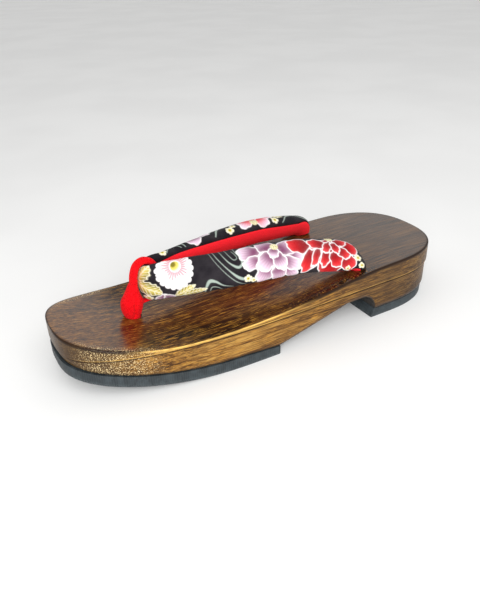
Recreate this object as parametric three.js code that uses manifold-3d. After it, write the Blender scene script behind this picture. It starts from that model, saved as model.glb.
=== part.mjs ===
// A geta sandal: a carved wooden base with a turned-up toe and an arched waist, rubber sheets under
// its fore part and its heel, and a padded thong strap that a cloth loop holds down at the front.
// Millimetres, +Z up, +Y towards the toe. The origin is on the floor under the middle of the base.
import * as THREE from 'three';
import { mergeVertices } from 'three/addons/utils/BufferGeometryUtils.js';
import Module from 'manifold-3d';

const wasm = await Module();
wasm.setup();

// Clearance between pieces that touch
const SEAT_GAP = 0.3;

// Plan outline of the base: sides that spread from heel to ball, closed by two superelliptic ends
const LENGTH = 240;
const HEEL_HALF_WIDTH = 39;
const BALL_HALF_WIDTH = 43.3;
const SPREAD_LENGTH = 180;
const TOE_END = { length: 140, power: 3.06 };
const HEEL_END = { length: 46, power: 2.5 };

// Height of the deck along the foot: high under the heel, low at the ball, turned up at the toe
const DECK_PROFILE = [
  { y: -120, z: 34.5 },
  { y: -60, z: 33.4 },
  { y: 0, z: 27.1 },
  { y: 60, z: 24.7 },
  { y: 90, z: 27.4 },
  { y: 120, z: 33.8 },
];
const DECK_EDGE_ROUND = 1.1;

// Side of the base: an overhanging upper tier, a groove under it and a lower tier set back
const GROOVE_TOP = 23.4;
const GROOVE_HEIGHT = 1;
const GROOVE_DEPTH = 0.6;
const TIER_SETBACK = 0.8;
const FOOT_BEVEL = { setback: 0.8, height: 2.4 };

// Underside of the waist: a ramp up to a flat crown, then a hollow curve down the heel breast
const CROWN_FRONT = -40;
const BREAST_CURVE = { y: -51, z: 4.5, depth: 10.7, height: 12 };

// Rubber sheets. The fore sheet is thinned at its rear edge and follows the toe spring
const FORE_SOLE_THICKNESS = 6.4;
const FORE_SOLE_REAR = { y: 7.4, thickness: 5.1, taper: 22 };
const TOE_SPRING = { start: 31.6, rise: 12.2 };
const FORE_SOLE_SETBACK = { side: 0.8, end: 0 };
const HEEL_PAD_THICKNESS = 5.9;
const HEEL_PAD_SETBACK = { side: 1.6, end: 1.6 };
const HEEL_PAD_FRONT = { top: -61.5, bottom: -59.2 };

// Holes in the base for the toe loop and for the two tails of the strap
const LOOP_HOLE = { y: 76, radius: 4.7, floor: 15 };
const TAIL_HOLE = { x: 29.6, y: -52.6, radius: 5.3, floor: 21 };

// Strap from its front fold to one tail. Tilt is the slope of the section's width above level. The section
// is two half ovals back to back: the cover bulges outwards, and the lining inwards against the foot. The
// cover wraps round the section's top and its foot by these shares of the lining's bulge, and where a share
// is below zero, at the tails, the lining wraps round the cover
const STRAP_SECTIONS = [
  { y: 67.2, x: 0, z: 43.9, tilt: 90, halfWidth: 9.6, cover: 3.4, lining: 3.4, top: 0.8, foot: 0.3 },
  { y: 65.2, x: 4.2, z: 44.6, tilt: 88, halfWidth: 10.1, cover: 3.5, lining: 3.5, top: 0.79, foot: 0.3 },
  { y: 60.8, x: 5.9, z: 45.1, tilt: 85, halfWidth: 10.3, cover: 3.8, lining: 3.8, top: 0.74, foot: 0.3 },
  { y: 54, x: 7.5, z: 45.3, tilt: 79, halfWidth: 10.1, cover: 4.3, lining: 4.7, top: 0.58, foot: 0.31 },
  { y: 45, x: 10.1, z: 45.7, tilt: 72, halfWidth: 10, cover: 4.8, lining: 5.8, top: 0.44, foot: 0.32 },
  { y: 30, x: 14.6, z: 46.4, tilt: 58, halfWidth: 9.9, cover: 5.2, lining: 7.2, top: 0.38, foot: 0.34 },
  { y: 15, x: 18.1, z: 47, tilt: 49, halfWidth: 10.1, cover: 5.4, lining: 8.2, top: 0.37, foot: 0.37 },
  { y: 0, x: 20.7, z: 47.2, tilt: 43, halfWidth: 10.2, cover: 5.5, lining: 8.6, top: 0.37, foot: 0.4 },
  { y: -15, x: 22.6, z: 46.5, tilt: 41, halfWidth: 10.2, cover: 5.5, lining: 8.6, top: 0.37, foot: 0.42 },
  { y: -30, x: 24.5, z: 44.2, tilt: 39, halfWidth: 10.1, cover: 5.3, lining: 8, top: 0.36, foot: 0.42 },
  { y: -41, x: 26.4, z: 41.9, tilt: 37, halfWidth: 9.9, cover: 5.1, lining: 7.2, top: 0.28, foot: 0.39 },
  { y: -48.6, x: 28, z: 39.3, tilt: 34, halfWidth: 9.3, cover: 4.9, lining: 6.2, top: -0.1, foot: 0.32 },
  { y: -52.5, x: 29.2, z: 34.4, tilt: 26, halfWidth: 7.4, cover: 4.5, lining: 5, top: -0.5, foot: 0.25 },
  { y: -52.6, x: 29.6, z: 27.6, tilt: 15, halfWidth: 4.8, cover: 4, lining: 4, top: -0.55, foot: 0.28 },
  { y: -52.6, x: 29.6, z: 22.5, tilt: 10, halfWidth: 4.6, cover: 3.9, lining: 3.9, top: -0.55, foot: 0.3 },
];
const STRAP_STEPS_PER_SECTION = 3;
const COVER_SIDES = 12;
const LINING_SIDES = 9;
const SEAM_SIDES = 6;
const SEAM_GAP = 0.6;

// Toe loop: an upright pear over its hole, and a band from the pear over the fold and back under it
const LOOP_PEAR = [
  { z: 15.5, y: 76, halfX: 4.2, halfY: 4.2 },
  { z: 25.4, y: 76, halfX: 4.2, halfY: 4.2 },
  { z: 26.6, y: 76, halfX: 4.6, halfY: 4.7 },
  { z: 28.6, y: 76, halfX: 5.2, halfY: 5.4 },
  { z: 31.4, y: 75.8, halfX: 5.8, halfY: 6.1 },
  { z: 34.4, y: 75.5, halfX: 5.9, halfY: 6.1 },
  { z: 37.6, y: 75.1, halfX: 5, halfY: 4.7 },
  { z: 40.6, y: 74.6, halfX: 4, halfY: 3.5 },
  { z: 44, y: 74, halfX: 3.2, halfY: 2.4 },
];
const LOOP_BAND = [
  { y: 75.4, z: 36, halfX: 3.3, halfThickness: 2.2 },
  { y: 73.7, z: 43, halfX: 3.1, halfThickness: 2.2 },
  { y: 72.8, z: 49.5, halfX: 2.9, halfThickness: 2.1 },
  { y: 70.8, z: 54.2, halfX: 2.8, halfThickness: 2 },
  { y: 67.2, z: 56.2, halfX: 2.7, halfThickness: 1.9 },
  { y: 63.4, z: 55, halfX: 2.2, halfThickness: 1.9 },
  { y: 61, z: 51.6, halfX: 1.7, halfThickness: 2 },
  { y: 60.2, z: 46.6, halfX: 1.5, halfThickness: 2.1 },
  { y: 60.5, z: 42, halfX: 1.5, halfThickness: 2.1 },
  { y: 61.5, z: 37, halfX: 1.5, halfThickness: 1.7 },
  { y: 63.5, z: 33.9, halfX: 1.6, halfThickness: 1.2 },
  { y: 67, z: 32.9, halfX: 1.8, halfThickness: 0.95 },
  { y: 71, z: 32.8, halfX: 2.2, halfThickness: 1.1 },
  { y: 75, z: 32.6, halfX: 2.8, halfThickness: 1.6 },
];
const LOOP_SIDES = 12;
const LOOP_STEPS_PER_SECTION = 2;
const HOLE_SIDES = 32;

// Spacing of the outline's points along the foot, and the closer points at its blunt ends
const STATION_STEP = 6;
const END_STRETCH = 40;
const END_STATIONS = { count: 8, step: 0.06, power: 2.3 };
const BREAST_STATIONS = 9;

const WOOD = new THREE.MeshStandardMaterial({ name: 'burnt wood', color: 0x6b4526, roughness: 0.4 });
const RUBBER = new THREE.MeshStandardMaterial({ name: 'rubber', color: 0x2c3236, roughness: 0.8 });
const PRINT = new THREE.MeshStandardMaterial({ name: 'printed cotton', color: 0x2a2530, roughness: 0.8 });
const RED = new THREE.MeshStandardMaterial({ name: 'red crepe', color: 0xc2101c, roughness: 0.95 });

const clamp01 = (value) => Math.min(Math.max(value, 0), 1);

// Cubic Hermite curve through a table, with the slope at each row taken from its neighbours.
function tableHeight(rows, y) {
  const slope = (i) => {
    const before = rows[Math.max(i - 1, 0)];
    const after = rows[Math.min(i + 1, rows.length - 1)];
    return (after.z - before.z) / (after.y - before.y);
  };
  const inside = rows.findIndex((row, i) => i > 0 && y <= row.y);
  const end = inside < 0 ? rows.length - 1 : inside;
  const low = rows[end - 1];
  const high = rows[end];
  const span = high.y - low.y;
  const t = clamp01((y - low.y) / span);
  const rise = t * t * (3 - 2 * t);
  const leave = t * (1 - t) * (1 - t) * span * slope(end - 1);
  const arrive = t * t * (t - 1) * span * slope(end);
  return low.z + (high.z - low.z) * rise + leave + arrive;
}

const deckHeight = (y) => tableHeight(DECK_PROFILE, y);

// Half the width of the outline at y, set back from the full outline at its sides and its ends.
function halfWidth(y, setback) {
  const half = LENGTH / 2;
  const spread = THREE.MathUtils.smoothstep(y, -half, -half + SPREAD_LENGTH);
  const side = THREE.MathUtils.lerp(HEEL_HALF_WIDTH, BALL_HALF_WIDTH, spread) - setback.side;
  const closing = (past, end) => {
    const share = clamp01(past / (end.length - setback.end));
    return Math.pow(1 - Math.pow(share, end.power), 1 / end.power);
  };
  const toe = closing(y - (half - TOE_END.length), TOE_END);
  const heel = closing(HEEL_END.length - half - y, HEEL_END);
  return side * toe * heel;
}

function toeSpring(y) {
  const share = Math.max(y - TOE_SPRING.start, 0) / (LENGTH / 2 - TOE_SPRING.start);
  return TOE_SPRING.rise * share * share;
}

function foreSoleTop(y) {
  const full = clamp01((y - FORE_SOLE_REAR.y) / FORE_SOLE_REAR.taper);
  return toeSpring(y) + THREE.MathUtils.lerp(FORE_SOLE_REAR.thickness, FORE_SOLE_THICKNESS, full);
}

// Height of the wood's underside: over the heel pad, up the breast, along the waist, over the fore sheet.
function woodUnderside(y) {
  const heel = HEEL_PAD_THICKNESS + SEAT_GAP;
  const crown = BREAST_CURVE.z + BREAST_CURVE.height;
  if (y >= FORE_SOLE_REAR.y) {
    return foreSoleTop(y) + SEAT_GAP;
  }
  if (y >= CROWN_FRONT) {
    const ramp = (y - CROWN_FRONT) / (FORE_SOLE_REAR.y - CROWN_FRONT);
    return THREE.MathUtils.lerp(crown, foreSoleTop(FORE_SOLE_REAR.y) + SEAT_GAP, ramp);
  }
  if (y >= BREAST_CURVE.y) {
    return crown;
  }
  const share = clamp01((BREAST_CURVE.y - y) / BREAST_CURVE.depth);
  return Math.max(heel, BREAST_CURVE.z + BREAST_CURVE.height * Math.sqrt(1 - share * share));
}

// Places along the foot where the outline has a point, from heel to toe.
function stations() {
  const half = LENGTH / 2;
  const list = [FORE_SOLE_REAR.y, CROWN_FRONT, BREAST_CURVE.y];
  for (let y = STATION_STEP - half; y < half; y += STATION_STEP) {
    list.push(y);
  }
  for (let k = 0; k < END_STATIONS.count; k += 1) {
    const back = END_STATIONS.step * Math.pow(k, END_STATIONS.power);
    list.push(half - back, back - half);
  }
  const pad = (HEEL_PAD_THICKNESS + SEAT_GAP - BREAST_CURVE.z) / BREAST_CURVE.height;
  const foot = Math.acos(pad);
  for (let k = 1; k <= BREAST_STATIONS; k += 1) {
    const angle = (foot * k) / BREAST_STATIONS;
    list.push(BREAST_CURVE.y - BREAST_CURVE.depth * Math.sin(angle));
  }
  return list.sort((a, b) => a - b);
}

// One level of a ladder: the right half of an outline from rear to front, at a height that follows y.
// A place in the end stretch moves in with the end, and one nearer the middle stays.
function outlineLevel(places, setback, height) {
  const half = LENGTH / 2;
  return places.map((place) => {
    const share = clamp01((Math.abs(place) - half + END_STRETCH) / END_STRETCH);
    const y = place - Math.sign(place) * setback.end * share;
    return { x: halfWidth(y, setback), y, z: height(y) };
  });
}

const evenSetback = (amount) => ({ side: amount, end: amount });

// A position-only geometry from a list of triangles, with shared points merged and slivers dropped.
function geometryOf(corners) {
  const positions = [];
  for (let i = 0; i < corners.length; i += 3) {
    const [a, b, c] = corners.slice(i, i + 3);
    if (a.distanceTo(b) > 0 && b.distanceTo(c) > 0 && c.distanceTo(a) > 0) {
      positions.push(...a.toArray(), ...b.toArray(), ...c.toArray());
    }
  }
  const soup = new THREE.BufferGeometry();
  soup.setAttribute('position', new THREE.Float32BufferAttribute(positions, 3));
  return mergeVertices(soup, 1e-4);
}

function pushQuad(corners, a, b, c, d) {
  corners.push(a, b, c, a, c, d);
}

// A closed body between levels that are each mirrored about x = 0, lowest first.
function ladderGeometry(levels) {
  const right = levels.map((level) => level.map((p) => new THREE.Vector3(p.x, p.y, p.z)));
  const left = levels.map((level) => level.map((p) => new THREE.Vector3(-p.x, p.y, p.z)));
  const top = levels.length - 1;
  const front = levels[0].length - 1;
  const corners = [];
  for (let k = 0; k < top; k += 1) {
    for (let i = 0; i < front; i += 1) {
      pushQuad(corners, right[k][i], right[k][i + 1], right[k + 1][i + 1], right[k + 1][i]);
      pushQuad(corners, left[k][i + 1], left[k][i], left[k + 1][i], left[k + 1][i + 1]);
    }
    pushQuad(corners, left[k][0], right[k][0], right[k + 1][0], left[k + 1][0]);
    pushQuad(corners, right[k][front], left[k][front], left[k + 1][front], right[k + 1][front]);
  }
  for (let i = 0; i < front; i += 1) {
    pushQuad(corners, left[top][i], right[top][i], right[top][i + 1], left[top][i + 1]);
    pushQuad(corners, right[0][i], left[0][i], left[0][i + 1], right[0][i + 1]);
  }
  return geometryOf(corners);
}

// A closed body through rings of equal count, each ring turning right-handed about the way of travel.
function loftGeometry(rings) {
  const corners = [];
  const count = rings[0].length;
  const middle = (ring) => ring.reduce((sum, p) => sum.add(p), new THREE.Vector3()).divideScalar(count);
  const last = rings.length - 1;
  const start = middle(rings[0]);
  const end = middle(rings[last]);
  for (let j = 0; j < count; j += 1) {
    const next = (j + 1) % count;
    for (let k = 0; k < last; k += 1) {
      pushQuad(corners, rings[k][j], rings[k][next], rings[k + 1][next], rings[k + 1][j]);
    }
    corners.push(start, rings[0][next], rings[0][j]);
    corners.push(end, rings[last][j], rings[last][next]);
  }
  return geometryOf(corners);
}

function toSolid(geometry) {
  return new wasm.Manifold(
    new wasm.Mesh({
      numProp: 3,
      vertProperties: new Float32Array(geometry.attributes.position.array),
      triVerts: new Uint32Array(geometry.index.array),
    }),
  );
}

function toMesh(name, solid, material) {
  const { vertProperties, triVerts } = solid.getMesh();
  const geometry = new THREE.BufferGeometry();
  geometry.setAttribute('position', new THREE.BufferAttribute(new Float32Array(vertProperties), 3));
  geometry.setIndex(new THREE.BufferAttribute(new Uint32Array(triVerts), 1));
  geometry.computeVertexNormals();
  const mesh = new THREE.Mesh(geometry, material);
  mesh.name = name;
  return mesh;
}

// An upright round plug for a hole, from its floor to well above the deck.
function holePlug(x, y, radius, floor) {
  const height = 2 * GROOVE_TOP;
  const plug = new THREE.CylinderGeometry(radius, radius, height, HOLE_SIDES);
  plug.rotateX(Math.PI / 2);
  plug.translate(x, y, floor + height / 2);
  plug.deleteAttribute('normal');
  plug.deleteAttribute('uv');
  return toSolid(mergeVertices(plug, 1e-4));
}

// The body with its three holes, each made smaller all round by the given margin.
function withHoles(solid, margin) {
  const holes = [
    holePlug(0, LOOP_HOLE.y, LOOP_HOLE.radius - margin, LOOP_HOLE.floor),
    holePlug(TAIL_HOLE.x, TAIL_HOLE.y, TAIL_HOLE.radius - margin, TAIL_HOLE.floor),
    holePlug(-TAIL_HOLE.x, TAIL_HOLE.y, TAIL_HOLE.radius - margin, TAIL_HOLE.floor),
  ];
  return holes.reduce((body, hole) => body.subtract(hole), solid);
}

function makeBase() {
  const places = stations();
  const lowerTierTop = GROOVE_TOP - GROOVE_HEIGHT;
  const bevelTop = (y) => Math.min(woodUnderside(y) + FOOT_BEVEL.height, lowerTierTop - SEAT_GAP);
  const level = (setback, height) => outlineLevel(places, evenSetback(setback), height);
  const levels = [
    level(TIER_SETBACK + FOOT_BEVEL.setback, woodUnderside),
    level(TIER_SETBACK, bevelTop),
    level(TIER_SETBACK, () => lowerTierTop),
    level(TIER_SETBACK + GROOVE_DEPTH, () => GROOVE_TOP - GROOVE_HEIGHT / 2),
    level(0, () => GROOVE_TOP),
    level(0, (y) => deckHeight(y) - DECK_EDGE_ROUND),
    level(DECK_EDGE_ROUND * 0.3, (y) => deckHeight(y) - DECK_EDGE_ROUND * 0.3),
    level(DECK_EDGE_ROUND, deckHeight),
  ];
  return withHoles(toSolid(ladderGeometry(levels)), 0);
}

function makeForeSole() {
  const places = stations().filter((y) => y >= FORE_SOLE_REAR.y);
  const levels = [
    outlineLevel(places, FORE_SOLE_SETBACK, toeSpring),
    outlineLevel(places, FORE_SOLE_SETBACK, foreSoleTop),
  ];
  return toSolid(ladderGeometry(levels));
}

function makeHeelPad() {
  const tail = -LENGTH / 2;
  const reach = HEEL_PAD_FRONT.top - tail;
  const places = stations().filter((y) => y < HEEL_PAD_FRONT.top);
  const upTo = (front) => [...places.map((y) => tail + ((y - tail) * (front - tail)) / reach), front];
  const levels = [
    outlineLevel(upTo(HEEL_PAD_FRONT.bottom), HEEL_PAD_SETBACK, () => 0),
    outlineLevel(upTo(HEEL_PAD_FRONT.top), HEEL_PAD_SETBACK, () => HEEL_PAD_THICKNESS),
  ];
  return toSolid(ladderGeometry(levels));
}

// Frames along the whole strap, from the left tail round the front fold to the right tail.
function strapFrames() {
  const mirrored = STRAP_SECTIONS.slice(1).reverse();
  const left = mirrored.map((row) => ({ ...row, side: -1 }));
  const right = STRAP_SECTIONS.map((row) => ({ ...row, side: 1 }));
  const rows = [...left, ...right];
  const smooth = (points) => new THREE.CatmullRomCurve3(points);
  const path = smooth(rows.map((row) => new THREE.Vector3(row.side * row.x, row.y, row.z)));
  const widthWay = smooth(
    rows.map((row) => {
      const tilt = THREE.MathUtils.degToRad(row.tilt);
      return new THREE.Vector3(-row.side * Math.cos(tilt), 0, Math.sin(tilt));
    }),
  );
  const sizes = smooth(rows.map((row) => new THREE.Vector3(row.halfWidth, row.cover, row.lining)));
  const shares = smooth(rows.map((row) => new THREE.Vector3(row.top, row.foot, 0)));
  const steps = (rows.length - 1) * STRAP_STEPS_PER_SECTION;
  return Array.from({ length: steps + 1 }, (_, k) => {
    const t = k / steps;
    const travel = path.getTangent(t);
    const across = widthWay.getPoint(t);
    across.addScaledVector(travel, -across.dot(travel)).normalize();
    const outward = new THREE.Vector3().crossVectors(across, travel);
    const [halfWidth, cover, lining] = sizes.getPoint(t).toArray();
    const [top, foot] = shares.getPoint(t).toArray();
    return { at: path.getPoint(t), across, outward, halfWidth, cover, lining, top, foot };
  });
}

// A stretch of the strap's section between two angles from outward, closed by its straight chord.
function strapRings(sides, angleRange) {
  return strapFrames().map((frame) => {
    const [from, to] = angleRange(frame);
    const arc = Array.from({ length: sides + 1 }, (_, j) => {
      const angle = THREE.MathUtils.lerp(from, to, j / sides);
      const bulge = Math.cos(angle) > 0 ? frame.cover : frame.lining;
      const point = frame.at.clone();
      point.addScaledVector(frame.outward, bulge * Math.cos(angle));
      return point.addScaledVector(frame.across, frame.halfWidth * Math.sin(angle));
    });
    const chord = Array.from({ length: SEAM_SIDES - 1 }, (_, j) => {
      return arc[sides].clone().lerp(arc[0], (j + 1) / SEAM_SIDES);
    });
    return [...arc, ...chord];
  });
}

// All that lies less than a seat gap from the base: its own bulk, raised and with narrower holes.
function baseClearance() {
  const places = stations();
  const bulk = [
    outlineLevel(places, evenSetback(0), () => 0),
    outlineLevel(places, evenSetback(0), (y) => deckHeight(y) + SEAT_GAP),
  ];
  return withHoles(toSolid(ladderGeometry(bulk)), SEAT_GAP);
}

// Angle from outward to a seam, which lies a share of the lining's bulge behind the section's widest line.
const seamAngle = (frame, share, shift) => Math.acos(shift / frame.lining - share);

function makeStrapCover() {
  const rings = strapRings(COVER_SIDES, (frame) => [
    -seamAngle(frame, frame.foot, SEAM_GAP / 2),
    seamAngle(frame, frame.top, SEAM_GAP / 2),
  ]);
  return toSolid(loftGeometry(rings)).subtract(baseClearance());
}

function makeStrapLining() {
  const rings = strapRings(LINING_SIDES, (frame) => [
    seamAngle(frame, frame.top, -SEAM_GAP / 2),
    2 * Math.PI - seamAngle(frame, frame.foot, -SEAM_GAP / 2),
  ]);
  return toSolid(loftGeometry(rings)).subtract(baseClearance());
}

// An oval ring about a point, turning from the first way to the second.
function ovalRing(at, first, second) {
  return Array.from({ length: LOOP_SIDES }, (_, j) => {
    const angle = (2 * Math.PI * j) / LOOP_SIDES;
    return at.clone().addScaledVector(first, Math.cos(angle)).addScaledVector(second, Math.sin(angle));
  });
}

function makeToeLoop() {
  const pear = LOOP_PEAR.map((row) => {
    const at = new THREE.Vector3(0, row.y, row.z);
    return ovalRing(at, new THREE.Vector3(row.halfX, 0, 0), new THREE.Vector3(0, row.halfY, 0));
  });
  const path = new THREE.CatmullRomCurve3(LOOP_BAND.map((row) => new THREE.Vector3(0, row.y, row.z)));
  const sizes = new THREE.CatmullRomCurve3(
    LOOP_BAND.map((row) => new THREE.Vector3(row.halfX, row.halfThickness, 0)),
  );
  const steps = (LOOP_BAND.length - 1) * LOOP_STEPS_PER_SECTION;
  const band = Array.from({ length: steps + 1 }, (_, k) => {
    const t = k / steps;
    const size = sizes.getPoint(t);
    const sideways = new THREE.Vector3(1, 0, 0);
    const thickness = new THREE.Vector3().crossVectors(path.getTangent(t), sideways);
    return ovalRing(path.getPoint(t), sideways.multiplyScalar(size.x), thickness.multiplyScalar(size.y));
  });
  return toSolid(loftGeometry(pear)).add(toSolid(loftGeometry(band))).subtract(baseClearance());
}

const geta = new THREE.Group();
geta.name = 'geta';
geta.add(toMesh('base', makeBase(), WOOD));
geta.add(toMesh('fore_sole', makeForeSole(), RUBBER));
geta.add(toMesh('heel_pad', makeHeelPad(), RUBBER));
geta.add(toMesh('strap_cover', makeStrapCover(), PRINT));
geta.add(toMesh('strap_lining', makeStrapLining(), RED));
geta.add(toMesh('toe_loop', makeToeLoop(), RED));

export default geta;
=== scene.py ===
from functools import reduce

import bpy
import numpy as np
from mathutils import Matrix, Quaternion, Vector


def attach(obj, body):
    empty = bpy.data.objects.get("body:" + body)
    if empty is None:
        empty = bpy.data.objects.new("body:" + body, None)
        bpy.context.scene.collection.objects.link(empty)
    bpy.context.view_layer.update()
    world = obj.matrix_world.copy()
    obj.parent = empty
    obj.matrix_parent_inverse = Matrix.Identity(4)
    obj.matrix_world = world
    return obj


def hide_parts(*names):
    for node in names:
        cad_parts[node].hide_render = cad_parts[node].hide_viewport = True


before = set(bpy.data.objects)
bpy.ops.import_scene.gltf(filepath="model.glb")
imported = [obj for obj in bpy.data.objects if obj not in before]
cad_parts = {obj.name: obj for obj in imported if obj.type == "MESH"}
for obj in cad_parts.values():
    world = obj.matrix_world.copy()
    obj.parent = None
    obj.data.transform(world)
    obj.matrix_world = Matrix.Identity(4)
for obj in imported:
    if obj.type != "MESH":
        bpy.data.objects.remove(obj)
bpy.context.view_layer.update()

# Wooden base
# One block of light softwood, sawn to its outline and arched at the waist, then scorched, brushed
# along the grain and lacquered. A groove runs round its side, and three holes are drilled in its deck.
MM = 0.001
HALF_LENGTH = 120.0
HEEL_HALF_WIDTH = 39.0
BALL_HALF_WIDTH = 43.3
SPREAD_LENGTH = 180.0
TOE_END = {"length": 140.0, "power": 3.06}
HEEL_END = {"length": 46.0, "power": 2.5}
DECK_PROFILE = np.array([(-120, 34.5), (-60, 33.4), (0, 27.1), (60, 24.7), (90, 27.4), (120, 33.8)])
GROOVE_TOP = 23.4
GROOVE_HEIGHT = 1.0
GROOVE_DEPTH = 0.6
TIER_SETBACK = 0.8
FOOT_BEVEL = {"setback": 0.8, "height": 2.4}
CROWN_FRONT = -40.0
BREAST = {"y": -51.0, "z": 4.5, "depth": 10.7, "height": 12.0}
FORE_THICKNESS = 6.4
FORE_REAR = {"y": 7.4, "thickness": 5.1, "taper": 22.0}
TOE_SPRING = {"start": 31.6, "rise": 12.2}
HEEL_THICKNESS = 5.9
SEAT_GAP = 0.3
LOOP_HOLE = {"x": 0.0, "y": 76.0, "radius": 4.7, "floor": 15.0}
TAIL_HOLE = {"x": 29.6, "y": -52.6, "radius": 5.3, "floor": 21.0}
HOLE_SIDES = 72
DECK_COLUMNS = 47
PLACE_STEP = 1.3
END_STEPS = {"first": 0.02, "growth": 2.2, "count": 16}
BREAST_STEPS = 24
CLOSEST_PLACES = 0.015
EDGE_BAND = 1.9
GROOVE_SHADE = 0.8
UNDERSIDE_INSET = 1.4
CORNER_RADII = (0.3, 0.8, 0.05, 0.15, 0.15, 0.12, 0.05, 0.1, 1.0)
CORNER_STEPS = 6
CORNER_LIMIT = 0.48
SHARP_EDGE = 38


def smooth(low, high, value):
    """Smooth step: 0 up to the low edge, 1 from the high edge on, and a cubic in between."""
    t = np.clip((value - low) / (high - low), 0, 1)
    return t * t * (3 - 2 * t)


def deck_height(y):
    """Cubic Hermite curve through the deck's profile, with slopes from each row's neighbours."""
    places, heights = DECK_PROFILE.T
    row = np.arange(len(places))
    before = np.maximum(row - 1, 0)
    after = np.minimum(row + 1, len(places) - 1)
    slope = (heights[after] - heights[before]) / (places[after] - places[before])
    end = np.clip(np.searchsorted(places, y), 1, len(places) - 1)
    span = places[end] - places[end - 1]
    t = np.clip((y - places[end - 1]) / span, 0, 1)
    rise = t * t * (3 - 2 * t) * (heights[end] - heights[end - 1])
    bend = t * (1 - t) * ((1 - t) * slope[end - 1] - t * slope[end]) * span
    return heights[end - 1] + rise + bend


def half_width(y, side_in=0.0, end_in=0.0):
    """Half the plan width at y: sides that spread from heel to ball, closed by two superelliptic ends."""
    spread = smooth(-HALF_LENGTH, SPREAD_LENGTH - HALF_LENGTH, y)
    side = HEEL_HALF_WIDTH + (BALL_HALF_WIDTH - HEEL_HALF_WIDTH) * spread - side_in
    for way, end in ((y, TOE_END), (-y, HEEL_END)):
        share = np.clip((way - HALF_LENGTH + end["length"]) / (end["length"] - end_in), 0, 1)
        side = side * (1 - share ** end["power"]) ** (1 / end["power"])
    return side


def toe_spring(y):
    """Height of the tread over the floor: none up to the start of the spring, then a parabola."""
    share = np.maximum(y - TOE_SPRING["start"], 0) / (HALF_LENGTH - TOE_SPRING["start"])
    return TOE_SPRING["rise"] * share ** 2


def fore_top(y):
    """Top of the fore sheet: toe spring plus a thickness that thins towards the rear edge."""
    full = np.clip((y - FORE_REAR["y"]) / FORE_REAR["taper"], 0, 1)
    return toe_spring(y) + FORE_REAR["thickness"] + (FORE_THICKNESS - FORE_REAR["thickness"]) * full


def wood_underside(y):
    """Underside of the wood: heel seat, hollow breast, flat crown, ramp down, then along the fore sheet."""
    crown = BREAST["z"] + BREAST["height"]
    share = np.clip((BREAST["y"] - y) / BREAST["depth"], 0, 1)
    breast = BREAST["z"] + BREAST["height"] * np.sqrt(1 - share ** 2)
    ramp = np.clip((y - CROWN_FRONT) / (FORE_REAR["y"] - CROWN_FRONT), 0, 1)
    waist = crown + (fore_top(FORE_REAR["y"]) + SEAT_GAP - crown) * ramp
    rear = np.where(y < BREAST["y"], np.maximum(HEEL_THICKNESS + SEAT_GAP, breast), waist)
    return np.where(y < FORE_REAR["y"], rear, fore_top(y) + SEAT_GAP)


def outline_places():
    """Places along the foot: even steps, closer ones at both blunt ends, and equal angles up the breast."""
    even = np.arange(-HALF_LENGTH, HALF_LENGTH, PLACE_STEP)
    back = END_STEPS["first"] * np.arange(END_STEPS["count"]) ** END_STEPS["growth"]
    foot = np.arccos((HEEL_THICKNESS + SEAT_GAP - BREAST["z"]) / BREAST["height"])
    arc = BREAST["y"] - BREAST["depth"] * np.sin(np.linspace(0, foot, BREAST_STEPS))
    marks = [CROWN_FRONT, FORE_REAR["y"]]
    places = np.sort(np.concatenate([even, back - HALF_LENGTH, HALF_LENGTH - back, arc, marks]))
    return places[np.append(True, np.diff(places) > CLOSEST_PLACES)]


def mirrored_ring(x, y):
    """A closed outline: its right half from rear to front, then the mirror image back."""
    right = np.stack([x, y], 1)
    return np.concatenate([right, right[-2:0:-1] * (-1, 1)])


def unit(vectors):
    """Vectors of length one."""
    return vectors / np.linalg.norm(vectors, axis=-1, keepdims=True)


def inward(ring):
    """Unit normals into an anticlockwise ring, each nearer to that of the shorter side beside it."""
    ahead = np.roll(ring, -1, 0) - ring
    reach = np.linalg.norm(ahead, axis=1, keepdims=True)
    way = ahead / reach
    tangent = unit(way * np.roll(reach, 1, 0) + np.roll(way, 1, 0) * reach)
    return np.stack([-tangent[:, 1], tangent[:, 0]], 1)


def parabola(start, corner, end, t):
    """Points at shares t of the curve that leaves the start and reaches the end heading for the corner."""
    return (1 - t) ** 2 * start + 2 * t * (1 - t) * corner + t ** 2 * end


def rounded_profile(pairs, radii):
    """Rows of a profile from pairs of setback and heights. Each inner corner becomes a parabola from one
    radius before it to one after, or just under half way along a short side. Both end corners stay."""
    corners = np.stack([np.stack([0 * height + setback, height], 1) for setback, height in pairs])
    t = np.linspace(0, 1, CORNER_STEPS)[:, None, None]
    rows = [corners[:1]]
    for before, corner, after, radius in zip(corners, corners[1:], corners[2:], radii):
        start, end = [
            corner + side * np.minimum(radius / np.linalg.norm(side, axis=1), CORNER_LIMIT)[:, None]
            for side in (before - corner, after - corner)
        ]
        rows.append(parabola(start, corner, end, t))
    return np.concatenate([*rows, corners[-1:]])


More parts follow.
